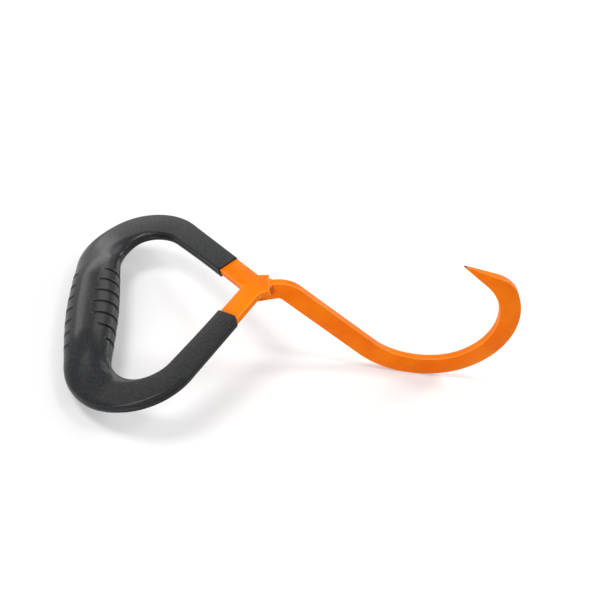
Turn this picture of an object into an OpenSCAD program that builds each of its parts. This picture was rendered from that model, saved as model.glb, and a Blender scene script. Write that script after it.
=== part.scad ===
// Hand hook for dragging and lifting logs: a flat-bar hook welded under the nose of a closed handle
// frame, with a moulded two-shell grip. It lies as it rests on a table, on the grip and the hook's belly.

/* [Steel] */
// Width of the flat bar, in the frame and in the hook
bar_w = 15; // [14:0.5:16]
// Thickness of the flat bar
bar_t = 5; // [4.5:0.25:5.5]

/* [Handle frame] */
// Angle between each arm and the centre line
arm_angle = 54; // [52:1:56]
// From the crotch between the arms to the middle of the grip
reach = 105; // [102:1:110]
// Radius of the frame's corners, to the middle of the bar
corner_r = 36; // [33:1:38]
// Distance from the crotch to the square end of the nose
nose_end = 19; // [18:0.2:20.4]
// Width of the nose where it leaves the arms
nose_root_w = 18.6; // [17:0.2:20]
// Width of the nose at its end
nose_end_w = 15.8; // [14:0.2:17]

/* [Hook] */
// Distance from the crotch to the rear end of the hook's stub, under the nose
stub_start = 7; // [5:0.5:9]
// Height of the stub, down from the top of the frame
stub_h = 13.9; // [13:0.1:15]
// Distance from the crotch to the start of the first bend
bend_x = 20.5; // [20:0.5:22]
// Outer radius of the first bend
bend_r = 22.5; // [20:0.5:24]
// Radius inside the first bend
bend_inner_r = 3; // [2:0.5:4]
// Angle that the shank drops below the frame
shank_angle = 56; // [54:1:58]
// Straight length of the shank
shank_len = 74; // [70:1:80]
// Radius of the belly, to the middle of the bar
belly_r = 70; // [66:1:74]
// Slope of the bar where the belly's bend turns into the throat's
belly_end = 8.5; // [6:0.5:12]
// Radius of the throat, to the middle of the bar
throat_r = 49; // [46:0.5:52]
// Angle round the throat at which the inner edge turns straight
point_start = 35.2; // [33:0.1:38]
// Length of the point's straight inner edge, were its end sharp
point_len = 26; // [23:0.5:28]
// Angle of the point between its inner edge and its bevel
point_angle = 21; // [20:0.5:23]
// Width of the point's blunt end
point_end = 1; // [0.6:0.1:1.6]
// Radius of the shoulder between the bevel and the hook's outer arc
shoulder_r = 27; // [18:1:30]
// Length over which the point is ground thinner from both sides
grind_len = 24; // [20:1:28]
// Thickness left at the point's end
point_t = 0.8; // [0.5:0.1:1.5]

/* [Grip] */
// Width of the grip at its middle
grip_w = 37; // [35:0.5:38]
// Height of the upper shell at the grip's middle, from the parting face
grip_up = 14.2; // [13.5:0.1:15]
// Depth of the lower shell at the grip's middle, from the parting face
grip_down = 12.8; // [12:0.1:13.5]
// Plastic past the bar's edge on the arms' outer side
sleeve_out = 0.5; // [0.4:0.1:1]
// Plastic past the bar's edge on the arms' inner side
sleeve_in = 1.4; // [0.8:0.1:1.8]
// Plastic above and below the bar in the sleeves
sleeve_skin = 1.4; // [1.2:0.1:2]
// Distance from the crotch to the sleeves' ends, along the arms
sleeve_end = 25.5; // [24:0.5:28]
// Depth of the parting face below the frame's top
parting_drop = 3.2; // [2.6:0.1:3.4]
// How far the lower shell's rim is set back from the upper shell's
rim_step = 0.35; // [0.2:0.05:0.4]
// Number of finger grooves on each side
groove_count = 7; // [5:2:7]
// Distance from groove to groove
groove_pitch = 11.2; // [10.8:0.05:11.8]
// Width of a groove
groove_w = 2.6; // [2:0.2:3]
// Depth of a groove
groove_d = 1.6; // [1:0.1:1.8]
// Radius of the near sleeve's outer corner
sleeve_corner_r = 3.5; // [2:0.5:4]
// Diameter of the pegs that locate the shells
peg_d = 4; // [3.5:0.1:4.2]
// Length of the pegs
peg_len = 5; // [4:0.5:5.5]

/* [Welds] */
// Leg of the weld beads under the nose
weld_leg = 4; // [3:0.5:4.5]
// Leg of the weld beads up the front of the nose
weld_front = 1.6; // [1:0.2:2]

/* [Hidden] */
$fn = 96;

orange = [0.95, 0.45, 0.06];
weld_orange = [0.86, 0.38, 0.05];
black = [0.12, 0.12, 0.13];

// The far arm runs along arm_dir, and arm_out points out of the handle, square to it.
arm_dir = [-cos(arm_angle), sin(arm_angle)];
arm_out = [sin(arm_angle), cos(arm_angle)];

// Middle of the far corner: the bend touches the arm's middle line and the grip's.
corner_x = corner_r - reach;
corner_y = (bar_w / 2 - corner_r - arm_out.x * corner_x) / arm_out.y;
corner = [corner_x, corner_y];
arm_len = corner * arm_dir;
corner_from = 90 - arm_angle;
corner_len = corner_r * (180 - corner_from) * PI / 180;
half_len = corner_len + corner_y;

// Hook, in its own plane: x as in the frame, y is the height above the frame's top.
bend_c = [bend_x, -bend_r];
shank_dir = [cos(shank_angle), -sin(shank_angle)];
shank_up = [sin(shank_angle), cos(shank_angle)];
shank_from = bend_c + (bend_r - bar_w / 2) * shank_up;
shank_to = shank_from + shank_len * shank_dir;
belly_c = shank_to + belly_r * shank_up;
throat_c = belly_c + (belly_r - throat_r) * [-sin(belly_end), -cos(belly_end)];

// Point of the hook.
point_dir = [-sin(point_start), cos(point_start)];
point_root = throat_c + (throat_r - bar_w / 2) * [cos(point_start), sin(point_start)];
point_tip = point_root + point_len * point_dir;
bevel_slope = point_start - 90 + point_angle;
bevel_out = [-sin(bevel_slope), cos(bevel_slope)];
bevel_dir = [cos(bevel_slope), sin(bevel_slope)];
blunt = point_end / 2 / sin(point_angle / 2);
point_middle = point_start - 90 - point_angle / 2;
grind_reach = 16;
grind_slope = (bar_t - point_t) / 2 / grind_len;

// Centre of the round shoulder, which touches the bevel and the hook's outer arc.
bevel_gap = bevel_out * (point_tip - throat_c) - shoulder_r;
shoulder_gap = throat_r + bar_w / 2 - shoulder_r;
shoulder_c = throat_c + bevel_gap * bevel_out
    + sqrt(pow(shoulder_gap, 2) - pow(bevel_gap, 2)) * bevel_dir;
shoulder_angle = atan2(shoulder_c.y - throat_c.y, shoulder_c.x - throat_c.x);

// The corner under the first bend, where the stub's bottom meets the shank's lower edge.
lower_edge = shank_from - bar_w / 2 * shank_up;
fold = lower_edge + (lower_edge.y + stub_h) / sin(shank_angle) * shank_dir;
fold_c = fold - bend_inner_r * [tan(shank_angle / 2), 1];
// Facets along an arc are this many degrees apart, and no shorter than this.
arc_step = 2;
facet_len = 0.4;

// Grip. Its half widths are taken at the middle, at the corner's outer and inner side, and at its ends.
parting_z = -parting_drop;
grip_half = grip_w / 2;
sleeve_out_half = bar_w / 2 + sleeve_out;
sleeve_in_half = bar_w / 2 + sleeve_in;
sleeve_up = parting_drop + sleeve_skin;
sleeve_down = bar_t - parting_drop + sleeve_skin;
corner_out_half = grip_half - 2.5;
corner_in_half = grip_half - 4.5;
grip_end_half = grip_half - 2;
// Where each form begins and ends to grow, as parts of the corner's length from the start of its bend:
// the outer and inner side, the last widening of both, the top, the underside and the edges' roundness.
out_growth = [-0.07, 1.2];
out_last = 0.95;
in_growth = [-0.55, 1.05];
in_bulge = [0.3, 0.75];
in_last = 0.9;
up_growth = [0.6, 1.22];
down_growth = [0.44, 1.1];
out_rounding = [0.42, 1.08];
in_rounding = [0.15, 0.95];
// Roundness of the top edges, as parts of the half width and height: small on the sleeves, full on the grip.
edge_x = 0.13;
edge_z = 0.28;
full_edge_x = 0.99;
full_edge_z = 0.96;
// Number of sections along the corner and the arm, and of facets round an edge.
corner_steps = 18;
arm_steps = 4;
edge_steps = 8;
// Grooves: where they begin on the top (in degrees round the section), how much later each next one begins,
// where they are deepest on the inner side, and where they fade on the outer side.
groove_top = 92;
groove_fan = 9;
groove_inner = 165;
groove_outer_end = 50;
groove_outer_full = 12;
// Inside the shells: gap to the frame, wall, and ribs that hold the pegs and stiffen the middle.
seat_gap = 0.1;
wall = 3.8;
peg_gap = 0.05;
peg_root = 1;
peg_clear = 0.5;
peg_x = 12;
peg_rib = 8;
middle_rib = 4;
pocket_end = corner_y - 10;
rib_y = pocket_end - 10;
pocket_wall_part = 0.3;
pocket_roof_part = 0.6;
// Past the surfaces that a cutter has to clear.
over = 0.1;

// How the whole hook tips so that the grip and the belly both touch the table.
function drop_grip(tip) = -(-reach * sin(tip) + parting_z * cos(tip))
    + sqrt(pow(grip_half * sin(tip), 2) + pow(grip_down * cos(tip), 2));
function drop_belly(tip) = -(belly_c.x * sin(tip) + belly_c.y * cos(tip)) + belly_r + bar_w / 2;
function settle(low, high, turns) = let (mid = (low + high) / 2)
    turns == 0 ? mid
    : drop_belly(mid) > drop_grip(mid) ? settle(mid, high, turns - 1) : settle(low, mid, turns - 1);
rest_tip = settle(5, 60, 40);
rest_height = drop_grip(rest_tip);

// Ends of the outline along X when it rests, and the middle between them.
grip_back = -reach * cos(rest_tip) - parting_z * sin(rest_tip)
    - sqrt(pow(grip_half * cos(rest_tip), 2) + pow(grip_up * sin(rest_tip), 2));
throat_front = throat_c.x * cos(rest_tip) - throat_c.y * sin(rest_tip) + throat_r + bar_w / 2;
rest_middle = (grip_back + throat_front) / 2;

// A smooth step from 0 at a to 1 at b.
function ramp(a, b, x) = let (t = min(1, max(0, (x - a) / (b - a)))) t * t * (3 - 2 * t);

// Middle line of the far half of the frame, as [point, outward direction, distance].
// The distance counts from the start of the corner's bend to the middle of the grip.
function arm_stations() = [for (k = [0:arm_steps - 1])
    let (d = sleeve_end + (arm_len - sleeve_end) * k / arm_steps)
    [arm_out * bar_w / 2 + arm_dir * d, arm_out, d - arm_len]];
function corner_stations() = [for (k = [0:corner_steps])
    let (a = corner_from + (180 - corner_from) * k / corner_steps, n = [cos(a), sin(a)])
    [corner + corner_r * n, n, corner_len * k / corner_steps]];
groove_edges = [groove_w / 2, groove_w / 6, -groove_w / 6, -groove_w / 2];
function grip_station(y) = [[-reach, y], [-1, 0], half_len - y];
function grip_stations() = [for (k = [(groove_count - 1) / 2:-1:1]) for (e = groove_edges)
    grip_station(k * groove_pitch + e)];
function middle_stations() = [grip_station(groove_w / 2), grip_station(groove_w / 6)];
function half_stations() = concat(arm_stations(), corner_stations(), grip_stations(), middle_stations());
function flipped(s) = [[s[0].x, -s[0].y], [s[1].x, -s[1].y], s[2]];
far_half = half_stations();
near_half = [for (k = [len(far_half) - 1:-1:0]) flipped(far_half[k])];
stations = concat(far_half, near_half);

// Half widths and heights of the grip at a distance along its middle line.
function grown(part, s) = ramp(part[0] * corner_len, part[1] * corner_len, s);
function out_half(s) = sleeve_out_half + (corner_out_half - sleeve_out_half) * grown(out_growth, s)
    + (grip_half - corner_out_half) * ramp(out_last * corner_len, half_len, s);
function in_half(s) = sleeve_in_half + (corner_in_half - sleeve_in_half) * grown(in_growth, s)
    + (grip_end_half - corner_in_half) * grown(in_bulge, s)
    + (grip_half - grip_end_half) * ramp(in_last * corner_len, half_len, s);

// Depth of the grooves: by place along the grip, and by angle round its section.
function groove_number(y) = round(y / groove_pitch);
function groove_along(p) = let (k = groove_number(p.y), e = abs(p.y - k * groove_pitch) / groove_w)
    p.x > -reach + 0.01 || abs(k) > (groove_count - 1) / 2 ? 0 : e < 0.25 ? 1 : 0;
function groove_round(t, k) = ramp(groove_top + groove_fan * abs(k), groove_inner, t)
    + 1 - ramp(groove_outer_full, groove_outer_end, t);

// One section of a shell, from its outer rim over the top to its inner rim, with its own roundness each side.
function rounded_edge(w, h, r) =
    let (rx = edge_x + (full_edge_x - edge_x) * r, rz = edge_z + (full_edge_z - edge_z) * r)
    [for (k = [0:edge_steps]) let (a = 90 * k / edge_steps)
        [w * (1 - rx + rx * cos(a)), h * (1 - rz + rz * sin(a))]];
function section(w, h, out_r, in_r) =
    let (right = rounded_edge(w, h, out_r), left = rounded_edge(w, h, in_r))
    concat([[w, 0]], right, [for (k = [edge_steps:-1:0]) [-left[k].x, left[k].y]], [[-w, 0]]);
section_points = 2 * (edge_steps + 2);
function ring(s, up) =
    let (out = out_half(s[2]), in = in_half(s[2]), inset = up ? 0 : rim_step,
        flat_h = up ? sleeve_up : sleeve_down, round_h = up ? grip_up : grip_down,
        h = flat_h + (round_h - flat_h) * grown(up ? up_growth : down_growth, s[2]),
        pts = section((out + in) / 2 - inset, h, grown(out_rounding, s[2]), grown(in_rounding, s[2])),
        cut = groove_d * groove_along(s[0]), number = groove_number(s[0].y))
    [for (p = pts) let (deep = cut * groove_round(atan2(p.y, p.x), number),
        q = p * (1 - deep / norm(p)), place = s[0] + s[1] * (q.x + (out - in) / 2))
        [place.x, place.y, parting_z + (up ? q.y : -q.y)]];

// The outside of one shell as a closed body, flat at the parting face.
module shell_skin(up) {
    rings = [for (s = stations) ring(s, up)];
    n = section_points;
    last = len(rings) - 1;
    sides = [for (i = [0:last - 1]) for (j = [0:n - 1])
        let (a = i * n + j, b = i * n + (j + 1) % n, c = (i + 1) * n + (j + 1) % n, d = (i + 1) * n + j)
        each [[a, b, c], [a, c, d]]];
    ends = [[for (j = [n - 1:-1:0]) j], [for (j = [0:n - 1]) last * n + j]];
    faces = concat(sides, ends);
    flip = [for (f = faces) [for (k = [len(f) - 1:-1:0]) f[k]]];
    polyhedron([for (r = rings) each r], up ? faces : flip, convexity = 8);
}

// The handle's closed outline at one side of its bar: r is its corners' radius, tip_x is where its arms meet.
module handle_outline(r, tip_x) {
    far = [corner + r * arm_out, corner, corner + [-r, 0]];
    near = [for (k = [len(far) - 1:-1:0]) [far[k].x, -far[k].y]];
    polygon(concat([[tip_x, 0]], far, near));
    for (side = [-1, 1]) translate([corner.x, side * corner.y]) circle(r);
}

// Flat outline of the closed frame, grown sideways by a gap.
module frame_outline(gap = 0) {
    difference() {
        handle_outline(corner_r + bar_w / 2 + gap, (bar_w + gap) / arm_out.x);
        handle_outline(corner_r - bar_w / 2 - gap, -gap / arm_out.x);
    }
}

module nose_outline() {
    root_x = bar_w / arm_out.x - nose_root_w / 2 / tan(arm_angle);
    polygon([[0, -nose_root_w / 2], [root_x, -nose_root_w / 2], [nose_end, -nose_end_w / 2],
        [nose_end, nose_end_w / 2], [root_x, nose_root_w / 2], [0, nose_root_w / 2]]);
}

module frame_body(gap = 0) {
    translate([0, 0, -bar_t]) linear_extrude(bar_t) {
        frame_outline(gap);
        nose_outline();
    }
}

// Points along an arc, from its first (or from the one after it) to its last.
function arc(c, r, from, to, first = 0) =
    let (steps = ceil(abs(to - from) / max(arc_step, facet_len / r * 180 / PI)))
    [for (k = [first:steps]) let (a = from + (to - from) * k / steps) c + r * [cos(a), sin(a)]];

// The hook's outline, round its lower and outer side to the tip and back along the throat.
function hook_points() = concat(
    [[stub_start, -bar_t], [stub_start, -stub_h]],
    arc(fold_c, bend_inner_r, 90, 90 - shank_angle),
    arc(belly_c, belly_r + bar_w / 2, -90 - shank_angle, -90 - belly_end),
    arc(throat_c, throat_r + bar_w / 2, -90 - belly_end, shoulder_angle, 1),
    arc(shoulder_c, shoulder_r, shoulder_angle, 90 + bevel_slope, 1),
    [point_tip + blunt * bevel_dir, point_tip - blunt * point_dir],
    arc(throat_c, throat_r - bar_w / 2, point_start, -90 - belly_end),
    arc(belly_c, belly_r - bar_w / 2, -90 - belly_end, -90 - shank_angle, 1),
    arc(bend_c, bend_r, 90 - shank_angle, 90),
    [[nose_end, 0], [nose_end, -bar_t]]);

// What is ground off both sides of the point, as two flat wedges laid along its middle.
module grind_cuts() {
    before = -over;
    after = grind_len + over;
    for (side = [0, 1]) translate([point_tip.x, 0, point_tip.y]) rotate([0, -point_middle, 0])
        mirror([0, side, 0]) translate([0, 0, -grind_reach]) linear_extrude(2 * grind_reach)
            polygon([[before, point_t / 2 + grind_slope * before], [after, point_t / 2 + grind_slope * after],
                [after, bar_t], [before, bar_t]]);
}

module hook_body() {
    difference() {
        rotate([90, 0, 0]) linear_extrude(bar_t, center = true) polygon(hook_points());
        grind_cuts();
    }
}

// A bead in the corner between the stub's side and the nose, turning up the front of the nose.
module weld_bead() {
    side = bar_t / 2;
    translate([stub_start, side, -bar_t]) rotate([0, 90, 0])
        intersection() {
            cylinder(r = weld_leg, h = nose_end - stub_start + over);
            cube([weld_leg, weld_leg, nose_end - stub_start + over]);
        }
    translate([nose_end, side, -bar_t - weld_front]) intersection() {
        cylinder(r = weld_front, h = bar_t + weld_front);
        cube([weld_front, weld_front, bar_t + weld_front]);
    }
}

// Hollows between the shell's ribs, over or under the frame's bar.
module pockets(up) {
    h = (up ? grip_up : grip_down) - wall;
    half = corner_out_half - groove_d - wall / 2;
    low = h * pocket_wall_part;
    roof = half * pocket_roof_part;
    shape = [[-half, -over], [half, -over], [half, low], [roof, h], [-roof, h], [-half, low]];
    gaps = [[middle_rib / 2, rib_y - peg_rib / 2], [rib_y + peg_rib / 2, pocket_end]];
    for (g = gaps) for (side = [0, 1]) mirror([0, side, 0])
        translate([-reach, g[1], parting_z]) mirror([0, 0, up ? 0 : 1])
            rotate([90, 0, 0]) linear_extrude(g[1] - g[0]) polygon(shape);
}

module at_pegs() {
    for (x = [-peg_x, peg_x]) for (y = [-rib_y, rib_y]) translate([x - reach, y, parting_z]) children();
}

// What rounds the near sleeve's end: the corner outside an arc, cut through the shell.
module sleeve_corner(r, half, side) {
    deep = 2 * grip_w;
    mirror([0, side < 0 ? 1 : 0, 0]) translate([-over, over, -deep / 2]) linear_extrude(deep)
        polygon(concat([[r, half + over], [-over, half + over], [-over, half - r]],
            arc([r, half - r], r, 180, 90)));
}

module near_end_rounding() {
    mirror([0, 1, 0]) translate(arm_out * bar_w / 2 + arm_dir * sleeve_end) rotate(180 - arm_angle) {
        sleeve_corner(sleeve_corner_r, sleeve_out_half, -1);
        sleeve_corner(sleeve_corner_r / 2, sleeve_in_half, 1);
    }
}

// Turns the handle frame's own place into the way that the hook rests on a table.
module lay() {
    translate([-rest_middle, 0, rest_height]) rotate([0, -rest_tip, 0]) children();
}

module handle_frame() {
    color(orange) lay() frame_body();
}

module hook() {
    color(orange) lay() hook_body();
}

module weld_near() {
    color(weld_orange) lay() mirror([0, 1, 0]) weld_bead();
}

module weld_far() {
    color(weld_orange) lay() weld_bead();
}

module grip_upper_shell() {
    color(black) lay() {
        difference() {
            shell_skin(true);
            frame_body(seat_gap);
            pockets(true);
            near_end_rounding();
        }
        at_pegs() translate([0, 0, -peg_len]) cylinder(d = peg_d, h = peg_len + peg_root);
    }
}

module grip_lower_shell() {
    color(black) lay() difference() {
        shell_skin(false);
        frame_body(seat_gap);
        pockets(false);
        near_end_rounding();
        at_pegs() translate([0, 0, -peg_len - peg_clear])
            cylinder(d = peg_d + 2 * peg_gap, h = peg_len + peg_clear + over);
    }
}

handle_frame();
hook();
weld_near();
weld_far();
grip_upper_shell();
grip_lower_shell();
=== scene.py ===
import math
import bmesh
import bpy
from mathutils import Matrix, Vector, noise


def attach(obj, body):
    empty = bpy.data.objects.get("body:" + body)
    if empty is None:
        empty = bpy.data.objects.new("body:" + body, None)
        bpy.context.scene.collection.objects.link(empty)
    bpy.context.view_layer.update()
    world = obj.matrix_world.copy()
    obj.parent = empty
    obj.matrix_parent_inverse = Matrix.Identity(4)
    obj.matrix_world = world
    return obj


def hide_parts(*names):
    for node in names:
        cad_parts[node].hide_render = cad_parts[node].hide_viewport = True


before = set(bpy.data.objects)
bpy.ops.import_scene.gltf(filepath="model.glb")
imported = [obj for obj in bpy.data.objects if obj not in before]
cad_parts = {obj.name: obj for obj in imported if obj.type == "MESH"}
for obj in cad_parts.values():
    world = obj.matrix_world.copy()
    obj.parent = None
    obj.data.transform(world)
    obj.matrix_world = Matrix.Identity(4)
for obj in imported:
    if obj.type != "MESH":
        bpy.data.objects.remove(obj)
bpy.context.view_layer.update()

# Sizes are in millimetres in the tool's own frame: x runs from the crotch of the arms to the hook,
# y to the far arm, and z is the height above the flat bar's top face.
BAR_W, BAR_T = 15.0, 5.0
ARM_ANGLE = math.radians(54)
REACH, CORNER_R = 105.0, 36.0
NOSE_END, STUB_START = 19.0, 7.0

# The hook's first bend, shank, belly, throat and point.
BEND_X, BEND_Z, BEND_R = 20.5, -22.5, 22.5
SHANK_ANGLE, SHANK_LEN = math.radians(56), 74
BELLY_R, BELLY_TURN = 70.0, math.radians(8.5)
THROAT_R, POINT_START, POINT_LEN = 49.0, math.radians(35.2), 26

# The grip's half width and its heights above and below the parting face. Its outer side swells
# towards the middle of the grip. Its inner side bulges at the corner and then swells.
GRIP_HALF, GRIP_UP, GRIP_DOWN = 18.5, 14.2, 12.8
OUTER_SWELL, INNER_SWELL, INNER_BULGE = 2.5, 2.0, 2.5

# The sleeves on the arms, and the rounding and least wall at the near sleeve's end.
SLEEVE_OUT, SLEEVE_IN, SLEEVE_END = 8.0, 8.9, 25.5
SLEEVE_UP, SLEEVE_DOWN = 4.6, 3.2
SLEEVE_END_RADII, SLEEVE_END_WALL = (3.5, 1.75), 0.05

# The parting face, how far the lower shell stands back there, and the gap beside the bar. The bead
# along the upper shell's rim goes back to the wall through points, as shares of it and heights.
PARTING_Z, RIM_STEP, SEAT_GAP = -3.2, 0.35, 0.1
RIM_BEAD, RIM_CURVE = 0.28, ((1, 0.3), (0.3, 0.52), (0, 0.6))

# Where each form of the grip grows, from one share of the corner's length to another.
OUTER_GROWS, INNER_GROWS, BULGE_GROWS = (-0.07, 1.2), (-0.55, 1.05), (0.3, 0.75)
UP_GROWS, DOWN_GROWS = (0.6, 1.22), (0.44, 1.1)
OUTER_ROUNDS, INNER_ROUNDS = (0.42, 1.08), (0.15, 0.95)
OUTER_SWELLS_FROM, INNER_SWELLS_FROM = 0.95, 0.9

# The edge's radii as shares of the half width and of the height: on the sleeve, and what they gain.
EDGE_ACROSS, EDGE_UP = (0.13, 0.86), (0.28, 0.68)

# The finger grooves. Angles round the grip's section run in degrees from 0 at the outer wall over
# the top to 180 at the inner wall, and the outer side is what lies below OUTER_SIDE.
GROOVES, GROOVE_PITCH, GROOVE_LIP = 7, 11.2, 0.16
OUTER_SIDE = 70

# The weld beads, along the stub and then up the nose's front: their radii, how far off the steel
# their middles lie, and how far they climb.
BEAD_R, FRONT_BEAD_R = 2.2, 1.25
BEAD_OFF, FRONT_BEAD_OFF, BEAD_CLIMB = 0.9, 0.5, 5.4

# How finely the pieces are drawn. The sleeve's end has closer sections where it is rounded.
END_PLACES, ARM_STEPS = (0, 0.06, 0.2, 0.45, 0.8, 1.3, 1.9, 2.7, 3.6), 12
CORNER_STEPS, EDGE_STEPS, STRAIGHT_STEP = 72, 22, 0.25
BEAD_STEPS, FRONT_BEAD_STEPS, BEAD_POINTS = 22, 12, 16

# The rounding of the steel's edges, in metres.
EASE = 0.00045

# The light that comes from all round, the floor's own glow, and what the lamps are turned to.
WHITE = (1, 1, 1, 1)
WORLD_LIGHT, FLOOR_GLOW = 0.27, 0.16
TOOL_MIDDLE, FRAME_MIDDLE = (0, 0, 0.03), (-0.05, 0, 0.03)


def ramp(a, b, x):
    """A smooth rise from 0 at a to 1 at b."""
    t = min(1.0, max(0.0, (x - a) / (b - a)))
    return t * t * (3 - 2 * t)


# Where the corner of the frame and the belly of the hook lie.
arm_dir = Vector((-math.cos(ARM_ANGLE), math.sin(ARM_ANGLE)))
arm_out = Vector((math.sin(ARM_ANGLE), math.cos(ARM_ANGLE)))
corner_x = CORNER_R - REACH
corner = Vector((corner_x, (BAR_W / 2 - CORNER_R - arm_out.x * corner_x) / arm_out.y))
arm_len = corner.dot(arm_dir)
corner_from = math.pi / 2 - ARM_ANGLE
corner_len = CORNER_R * (math.pi - corner_from)
half_len = corner_len + corner.y


def hook_points():
    """The belly's and the throat's centres and the tip, as (x, z)."""
    up = Vector((math.sin(SHANK_ANGLE), math.cos(SHANK_ANGLE)))
    start = Vector((BEND_X, BEND_Z)) + (BEND_R - BAR_W / 2) * up
    end = start + SHANK_LEN * Vector((math.cos(SHANK_ANGLE), -math.sin(SHANK_ANGLE)))
    belly = end + BELLY_R * up
    throat = belly + (BELLY_R - THROAT_R) * Vector((-math.sin(BELLY_TURN), -math.cos(BELLY_TURN)))
    root = throat + (THROAT_R - BAR_W / 2) * Vector((math.cos(POINT_START), math.sin(POINT_START)))
    return belly, throat, root + POINT_LEN * Vector((-math.sin(POINT_START), math.cos(POINT_START)))


belly_c, throat_c, point_tip = hook_points()


def rest():
    """The turn and the place that bring the grip and the belly down onto the table."""
    def grip_drop(a):
        return (REACH * math.sin(a) - PARTING_Z * math.cos(a)
                + math.hypot(GRIP_HALF * math.sin(a), GRIP_DOWN * math.cos(a)))

    def belly_drop(a):
        return BELLY_R + BAR_W / 2 - belly_c.x * math.sin(a) - belly_c.y * math.cos(a)

    # The turn at which both drops are the same is found by halving.
    low, high = math.radians(5), math.radians(60)
    for _ in range(50):
        mid = (low + high) / 2
        low, high = (mid, high) if belly_drop(mid) > grip_drop(mid) else (low, mid)
    back = (-REACH * math.cos(low) - PARTING_Z * math.sin(low)
            - math.hypot(GRIP_HALF * math.cos(low), GRIP_UP * math.sin(low)))
    front = throat_c.x * math.cos(low) - throat_c.y * math.sin(low) + THROAT_R + BAR_W / 2
    return low, grip_drop(low), (back + front) / 2


tip_angle, rest_height, rest_middle = rest()

# From the tool's own frame in millimetres to the model's in metres, where the tool rests.
LAY = (Matrix.Scale(0.001, 4) @ Matrix.Translation((-rest_middle, 0, rest_height))
       @ Matrix.Rotation(-tip_angle, 4, "Y"))


# Materials.
class Socket:
    """One output of a node. Sums, differences and products add Math nodes."""

    def __init__(self, nodes, out):
        self.nodes, self.out = nodes, out

    def maths(self, operation, a, b):
        return self.nodes.node("ShaderNodeMath", {"operation": operation}, {0: a, 1: b})

    def __add__(self, other):
        return self.maths("ADD", self, other)

    def __radd__(self, other):
        return self.maths("ADD", other, self)

    def __sub__(self, other):
        return self.maths("SUBTRACT", self, other)

    def __rsub__(self, other):
        return self.maths("SUBTRACT", other, self)

    def __mul__(self, other):
        return self.maths("MULTIPLY", self, other)

    def __rmul__(self, other):
        return self.maths("MULTIPLY", other, self)


class Nodes:
    """The node tree of a material or of the world."""

    def __init__(self, tree):
        self.tree = tree

    def node(self, kind, settings=None, inputs=None, out=0):
        """One of a node's outputs, once its settings and then its sockets are set or linked."""
        made = self.tree.nodes.new(kind)
        for key, value in (settings or {}).items():
            setattr(made, key, value)
        for key, value in (inputs or {}).items():
            self.feed(made.inputs[key], value)
        return Socket(self, made.outputs[out])

    def feed(self, socket, value):
        if isinstance(value, Socket):
            self.tree.links.new(value.out, socket)
        else:
            socket.default_value = value

    def seen(self):
        """1 for the rays of the camera, of mirrors and of glass, and 0 for those that gather light."""
        camera = self.node("ShaderNodeLightPath", out="Is Camera Ray")
        mirror = self.node("ShaderNodeLightPath", out="Is Glossy Ray")
        return camera + mirror + self.node("ShaderNodeLightPath", out="Is Transmission Ray")


class Finish(Nodes):
    """A material with one Principled shader. What is the same all over is given by its socket's name."""

    def __init__(self, name, **values):
        self.material = bpy.data.materials.new(name)
        self.material.use_nodes = True
        super().__init__(self.material.node_tree)
        self.shader = self.tree.nodes["Principled BSDF"]
        for key, value in values.items():
            self.set(key.replace("_", " "), value)

    def set(self, name, value):
        self.feed(self.shader.inputs[name], value)

    def place(self):
        return self.node("ShaderNodeTexCoord", out="Object")

    def noise(self, scale, detail=2.0, roughness=0.5):
        return self.node("ShaderNodeTexNoise", {}, {
            "Vector": self.place(), "Scale": scale, "Detail": detail, "Roughness": roughness})

    def step(self, value, low, high):
        return self.node("ShaderNodeMapRange", {"interpolation_type": "SMOOTHSTEP"}, {
            "Value": value, "From Min": low, "From Max": high})

    def blend(self, factor, a, b):
        """A mix of two colours, which are a Mix node's inputs 6 and 7 and its output 2."""
        return self.node("ShaderNodeMix", {"data_type": "RGBA"}, {0: factor, 6: a, 7: b}, out=2)

    def bump(self, height, depth, strength):
        self.set("Normal", self.node("ShaderNodeBump", {}, {
            "Strength": strength, "Distance": depth, "Height": height}, out="Normal"))


def colour(r, g, b):
    """Linear colour of an sRGB one that is written from 0 to 255."""
    def linear(v):
        v /= 255
        return v / 12.92 if v <= 0.04045 else ((v + 0.055) / 1.055) ** 2.4
    return (linear(r), linear(g), linear(b), 1.0)


def grip_plastic():
    """Black moulded plastic with a fine grain, dull underneath and a little glossy on top."""
    f = Finish("grip_plastic", IOR=1.46, Specular_IOR_Level=0.08, Coat_Weight=0.3, Coat_Roughness=0.2)
    fine = f.noise(900, 2, 0.6)
    coarse = f.noise(380, 3, 0.55)
    wide = f.noise(28, 2)
    shade = f.step(fine * 0.6 + coarse * 0.3 + wide * 0.1, 0.36, 0.64)
    f.set("Base Color", f.blend(shade, colour(12, 13, 14), colour(33, 34, 36)))
    f.set("Roughness", 0.24 + fine * 0.16)
    f.bump(fine * 0.7 + coarse * 0.3, 0.0002, 0.9)
    return f.material


def orange_paint(name, painted_highlight=0.0):
    """Sprayed orange paint with a slight peel, worn off the hook's tip. painted_highlight lightens it
    towards pale orange, a painted highlight along edges.
    """
    f = Finish(name, IOR=1.45, Specular_IOR_Level=0.08)
    cloud = f.noise(45, 3, 0.55)
    peel = f.noise(700, 2, 0.5)
    paint = f.blend(f.step(cloud, 0.3, 0.7), colour(233, 105, 0), colour(240, 121, 2))
    # Painted highlight: the paint is lightened towards pale orange.
    if painted_highlight:
        paint = f.blend(painted_highlight, paint, colour(255, 168, 84))
    tip = LAY @ Vector((point_tip.x, 0, point_tip.y))
    away = f.node("ShaderNodeVectorMath", {"operation": "DISTANCE"}, {0: f.place(), 1: tip}, out="Value")
    bare = 1 - f.step(away + peel * 0.0015, 0.0032, 0.0066)
    f.set("Base Color", f.blend(bare, paint, colour(74, 66, 60)))
    f.set("Roughness", 0.32 + peel * 0.12)
    f.bump(peel, 0.0001, 0.7)
    return f.material


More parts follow.
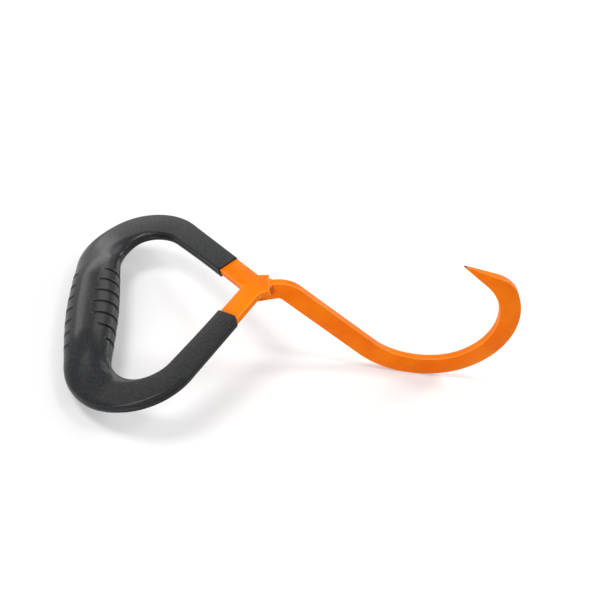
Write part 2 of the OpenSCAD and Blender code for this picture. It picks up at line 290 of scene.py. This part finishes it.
def weld_paint():
    """The same paint over a rough bead, darker in its hollows as painted shade."""
    f = Finish("weld_paint", IOR=1.5)
    lumps = f.noise(520, 4, 0.65)
    # Painted shade: the colour darkens where the bumps are low, in the bead's hollows.
    f.set("Base Color", f.blend(f.step(lumps, 0.3, 0.75), colour(206, 74, 6), colour(246, 126, 24)))
    f.set("Roughness", 0.36 + lumps * 0.2)
    f.bump(lumps, 0.0003, 0.8)
    return f.material


PLASTIC = grip_plastic()
FRAME_PAINT, HOOK_PAINT = orange_paint("frame_paint"), orange_paint("hook_paint")
# The edges' paint is lightened as a painted highlight.
EDGE_HIGHLIGHT_PAINT = orange_paint("edge_painted_highlight", painted_highlight=0.45)
WELD_PAINT = weld_paint()


# Pieces.
def finished(name, bm, materials, replaced, sharp=35.0):
    """Makes a piece of a bmesh, which rides on the tool and stands for one of its solids."""
    mesh = bpy.data.meshes.new(name)
    bm.to_mesh(mesh)
    bm.free()
    for material in materials:
        mesh.materials.append(material)
    mesh.shade_smooth()
    mesh.set_sharp_from_angle(angle=math.radians(sharp))
    piece = bpy.data.objects.new(name, mesh)
    bpy.context.scene.collection.objects.link(piece)
    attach(piece, "root")
    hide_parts(replaced)


def eased(node):
    """A copy of a solid whose sharp edges are rounded, with a paler paint on them as a painted
    highlight.
    """
    same_point, flat, sharp = 2e-6, math.radians(0.4), math.radians(24)
    bm = bmesh.new()
    bm.from_mesh(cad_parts[node].data)
    bmesh.ops.remove_doubles(bm, verts=bm.verts, dist=same_point)
    bmesh.ops.dissolve_limit(bm, angle_limit=flat, verts=bm.verts, edges=bm.edges)
    for face in bm.faces:
        face.material_index = 0
    edges = [e for e in bm.edges if len(e.link_faces) == 2 and e.calc_face_angle(0) > sharp]
    bmesh.ops.bevel(bm, geom=edges, offset=EASE, offset_type="OFFSET", segments=3, profile=0.5,
                    affect="EDGES", material=1, clamp_overlap=True, harden_normals=False)
    return bm


def skin(rings):
    """A closed skin drawn through rings of points, one ring after another, with a cap at each end."""
    bm = bmesh.new()
    loops = []
    for points in rings:
        verts = bmesh.ops.create_circle(bm, segments=len(points), radius=1)["verts"]
        for vert, point in zip(verts, points):
            vert.co = point
        loops.append(list({e for v in verts for e in v.link_edges}))
    for a, b in zip(loops, loops[1:]):
        bmesh.ops.bridge_loops(bm, edges=a + b)
    for loop in (loops[0], loops[-1]):
        bmesh.ops.contextual_create(bm, geom=loop)
    bmesh.ops.recalc_face_normals(bm, faces=bm.faces)
    return bm


# The grip, swept along the middle line of the frame's bar.
def grip_places():
    """Places from the far sleeve's end to the near one's, as (point, outward, distance along).

    The distance counts from the start of the corner, and is below 0 on the arm.
    """
    far = []
    ends = [SLEEVE_END + d for d in END_PLACES]
    ends += [ends[-1] + (arm_len - ends[-1]) * k / ARM_STEPS for k in range(1, ARM_STEPS)]
    for d in ends:
        far.append((arm_out * BAR_W / 2 + arm_dir * d, arm_out, d - arm_len))
    for k in range(CORNER_STEPS + 1):
        a = corner_from + (math.pi - corner_from) * k / CORNER_STEPS
        outward = Vector((math.cos(a), math.sin(a)))
        far.append((corner + CORNER_R * outward, outward, corner_len * k / CORNER_STEPS))
    steps = round(corner.y / STRAIGHT_STEP)
    for k in range(1, steps):
        y = corner.y * (1 - k / steps)
        far.append((Vector((-REACH, y)), Vector((-1, 0)), half_len - y))
    near = [(Vector((p.x, -p.y)), Vector((n.x, -n.y)), s) for p, n, s in reversed(far)]
    return far + [(Vector((-REACH, 0)), Vector((-1, 0)), half_len)] + near


def grown(shares, along):
    """How far a form has grown at a distance along, between two shares of the corner's length."""
    first, last = shares
    return ramp(first * corner_len, last * corner_len, along)


def out_half(along):
    """The grip's width from the middle line to its outer side."""
    corner_half = GRIP_HALF - OUTER_SWELL
    return (SLEEVE_OUT + (corner_half - SLEEVE_OUT) * grown(OUTER_GROWS, along)
            + OUTER_SWELL * ramp(OUTER_SWELLS_FROM * corner_len, half_len, along))


def in_half(along):
    """The grip's width from the middle line to its inner side."""
    corner_half = GRIP_HALF - INNER_BULGE - INNER_SWELL
    return (SLEEVE_IN + (corner_half - SLEEVE_IN) * grown(INNER_GROWS, along)
            + INNER_BULGE * grown(BULGE_GROWS, along)
            + INNER_SWELL * ramp(INNER_SWELLS_FROM * corner_len, half_len, along))


def outer_course(angle):
    """The pitch of the outer side's grooves, and the middle one's place, which slants as it climbs."""
    wider, foot, slant = 0.15, -0.3, -3.2
    return GROOVE_PITCH + wider, foot + slant * ramp(6, 56, angle)


def inner_course(angle):
    """The same on the inner side."""
    closer, foot, slant = 0.2, -0.4, -1.2
    return GROOVE_PITCH - closer, foot + slant * (1 - ramp(105, 145, angle))


def outer_groove(angle):
    """The half width and depth of the outer side's grooves, and how much of them is left that high."""
    half_width, deep = 0.95, 1.9
    return half_width, deep, 1 - ramp(36, 56, angle)


def inner_groove(angle, number):
    """The same for one groove of the inner side, which widens and deepens down the wall.

    A groove starts lower down the farther it is from the middle one, which is number 0.
    """
    lower = 2.4 if number > 0 else 4.9
    start = 105 + lower * number * number
    half_width = 0.7 + 0.4 * ramp(130, 170, angle)
    deep = 1.2 + 0.9 * ramp(125, 165, angle)
    return half_width, deep, ramp(start, start + 7, angle)


def groove_depth(place, angle):
    """How deep a groove is at a place on the middle line and an angle round the section there.

    Beside a groove the depth is below 0, which is its raised lip. Only the straight has grooves.
    """
    if place.x > 0.01 - REACH:
        return 0.0
    outer = angle < OUTER_SIDE
    pitch, course = outer_course(angle) if outer else inner_course(angle)
    number = round((place.y - course) / pitch)
    if abs(number) > (GROOVES - 1) / 2:
        return 0.0
    half_width, deep, left = outer_groove(angle) if outer else inner_groove(angle, number)
    off = abs(place.y - course - number * pitch) / half_width
    ridge, spread = 1.5, 0.5
    lip = GROOVE_LIP * max(0.0, 1 - abs(off - ridge) / spread)
    return left * (deep * max(0.0, 1 - off) - lip)


def quarter(w, h, rx, rz, rim):
    """Half of a section: up from the rim's bead, up the wall and round the edge to the top's middle.

    The edge's radii, rx and rz, are shares of the half width w and of the height h.
    """
    wall = w - rim
    points = [(w, 0.0)]
    if rim:
        points += [(wall + out * rim, z) for out, z in RIM_CURVE]
    for k in range(EDGE_STEPS + 1):
        a = math.pi / 2 * k / EDGE_STEPS
        points.append((wall * (1 - rx + rx * math.cos(a)), h * (1 - rz + rz * math.sin(a))))
    return points


near_end = arm_out * BAR_W / 2 + arm_dir * SLEEVE_END
near_end.y = -near_end.y


def end_rounding(place):
    """How much the near sleeve narrows towards its rounded end, on its outer and inner side."""
    if place.y > 0:
        return 0.0, 0.0
    d = max(0.0, (place - near_end).dot(Vector((arm_dir.x, -arm_dir.y))))
    return [r - math.sqrt(r * r - (r - d) ** 2) if d < r else 0.0 for r in SLEEVE_END_RADII]


def shell_ring(place, outward, along, up):
    """A closed section of a shell: over its skin from rim to rim, then back round the bar."""
    wide_out, wide_in = out_half(along), in_half(along)
    flat_h, full_h = (SLEEVE_UP, GRIP_UP) if up else (SLEEVE_DOWN, GRIP_DOWN)
    h = flat_h + (full_h - flat_h) * grown(UP_GROWS if up else DOWN_GROWS, along)
    w = (wide_out + wide_in) / 2 - (0 if up else RIM_STEP)
    rim = RIM_BEAD if up else 0.0
    sides = []
    for rounds in (OUTER_ROUNDS, INNER_ROUNDS):
        across, upward = [start + gain * grown(rounds, along) for start, gain in (EDGE_ACROSS, EDGE_UP)]
        sides.append(quarter(w, h, across, upward, rim))
    half = sides[0] + [(-x, z) for x, z in reversed(sides[1][:-1])]
    shift = (wide_out - wide_in) / 2
    cut_out, cut_in = end_rounding(place)
    skin_points = []
    for x, z in half:
        angle = math.degrees(math.atan2(z, x))
        left_over = 1 - groove_depth(place, angle) / math.hypot(x, z)
        x, z = x * left_over, z * left_over
        x = min(x, w - cut_out) if x > 0 else max(x, cut_in - w)
        skin_points.append((x + shift, z))
    seat = BAR_W / 2 + SEAT_GAP
    top = -PARTING_Z if up else BAR_T + PARTING_Z
    right = min(seat, w - cut_out - SLEEVE_END_WALL)
    left = max(-seat, cut_in - w + SLEEVE_END_WALL)
    back = [(left, 0), (left, top), (right, top), (right, 0)]
    points = []
    for x, z in skin_points + back:
        p = place + outward * x
        points.append(LAY @ Vector((p.x, p.y, PARTING_Z + (z if up else -z))))
    return points


def grip_shell(name, up):
    """One half of the moulded grip, with its two sleeves."""
    rings = [shell_ring(place, outward, along, up) for place, outward, along in grip_places()]
    finished(name, skin(rings), [PLASTIC], name + "_shell", sharp=50)


grip_shell("grip_upper", up=True)
grip_shell("grip_lower", up=False)


# The steel.
finished("handle_bar", eased("handle_frame"), [FRAME_PAINT, EDGE_HIGHLIGHT_PAINT], "handle_frame")
finished("hook_bar", eased("hook"), [HOOK_PAINT, EDGE_HIGHLIGHT_PAINT], "hook")


def weld(side, name):
    """A lumpy bead in the corner under the nose, turned up along the nose's front edge."""
    low, stub_side = -BAR_T - BEAD_OFF, BAR_T / 2
    start, length = STUB_START + 0.4, NOSE_END - STUB_START - 0.2
    path = [(start + length * k / BEAD_STEPS, low, stub_side + BEAD_OFF, BEAD_R)
            for k in range(BEAD_STEPS + 1)]
    path += [(NOSE_END + FRONT_BEAD_OFF, low + BEAD_CLIMB * k / FRONT_BEAD_STEPS,
              stub_side + FRONT_BEAD_OFF, FRONT_BEAD_R) for k in range(1, FRONT_BEAD_STEPS + 1)]
    rings = []
    for i, (x, z, y, r) in enumerate(path):
        level = i <= BEAD_STEPS
        points = []
        for j in range(BEAD_POINTS):
            # The bead swells evenly along its path and is rough all over.
            a = 2 * math.pi * j / BEAD_POINTS
            rough = noise.noise(Vector((i * 0.7, j * 0.9, side * 3)))
            lumpy = r * (1 + 0.10 * math.cos(i * 1.9) + 0.12 * rough)
            u, v = lumpy * math.cos(a), lumpy * math.sin(a)
            points.append(LAY @ Vector((x if level else x + v, side * (y + u), z + v if level else z)))
        rings.append(points)
    finished(name + "_bead", skin(rings), [WELD_PAINT], name, sharp=60)


weld(-1, "weld_near")
weld(1, "weld_far")


# Studio.
def floor():
    """Pale paper that the camera, mirrors and glass see near white, and that keeps the tool's shadow."""
    paper = Finish("floor_paper", Base_Color=(0.72, 0.72, 0.72, 1), Roughness=0.95,
                   Specular_IOR_Level=0.0, Emission_Color=WHITE)
    paper.set("Emission Strength", paper.seen() * FLOOR_GLOW)
    bm = bmesh.new()
    bmesh.ops.create_grid(bm, x_segments=1, y_segments=1, size=1.25)
    mesh = bpy.data.meshes.new("floor")
    bm.to_mesh(mesh)
    bm.free()
    mesh.materials.append(paper.material)
    plane = bpy.data.objects.new("floor", mesh)
    bpy.context.scene.collection.objects.link(plane)


def lamp(name, at, aim, width, height, power):
    """A soft lamp: a rectangle as wide and high as given, turned towards a point."""
    data = bpy.data.lights.new(name, "AREA")
    data.shape, data.energy = "RECTANGLE", power
    data.size, data.size_y = width, height
    made = bpy.data.objects.new(name, data)
    made.location = at
    made.rotation_euler = (Vector(aim) - Vector(at)).to_track_quat("-Z", "Y").to_euler()
    bpy.context.scene.collection.objects.link(made)


def camera(at, right, ahead, lens, sensor_width):
    """The camera at a place, with the directions to its right and ahead of it."""
    right, ahead = Vector(right).normalized(), Vector(ahead).normalized()
    up = right.cross(ahead).normalized()
    right = ahead.cross(up)
    data = bpy.data.cameras.new("camera")
    data.lens, data.sensor_width = lens, sensor_width
    made = bpy.data.objects.new("camera", data)
    made.matrix_world = Matrix.Translation(at) @ Matrix((right, up, -ahead)).transposed().to_4x4()
    bpy.context.scene.collection.objects.link(made)
    bpy.context.scene.camera = made


def surroundings():
    """Even light all round, which the camera, mirrors and glass see as white."""
    world = bpy.data.worlds.new("studio")
    world.use_nodes = True
    nodes = Nodes(world.node_tree)
    background = world.node_tree.nodes["Background"]
    nodes.feed(background.inputs["Color"], WHITE)
    nodes.feed(background.inputs["Strength"], WORLD_LIGHT + nodes.seen() * (1 - WORLD_LIGHT))
    bpy.context.scene.world = world


floor()
camera((-0.1554, -0.5942, 0.6002), right=(0.9727, -0.0437, 0.2281), ahead=(0.1883, 0.7229, -0.6648),
       lens=72, sensor_width=36)
lamp("upper_left", (-0.75, 0.0, 1.3), TOOL_MIDDLE, 0.45, 0.45, 8.5)
lamp("overhead", (0.45, -0.1, 1.2), TOOL_MIDDLE, 0.25, 0.25, 2)
lamp("back", (-0.65, 1.4, 0.55), FRAME_MIDDLE, 2.0, 0.5, 10)
lamp("back_right", (1.25, 1.3, 0.4), FRAME_MIDDLE, 0.5, 0.4, 3)
lamp("upper_back", (0.1, 1.0, 1.0), FRAME_MIDDLE, 0.7, 0.7, 3)
lamp("front_left", (-0.9, -1.3, 0.7), TOOL_MIDDLE, 0.9, 0.9, 17)
lamp("right", (1.15, 0.4, 0.75), TOOL_MIDDLE, 0.35, 0.35, 9)
surroundings()
bpy.context.scene.view_settings.view_transform = "Standard"
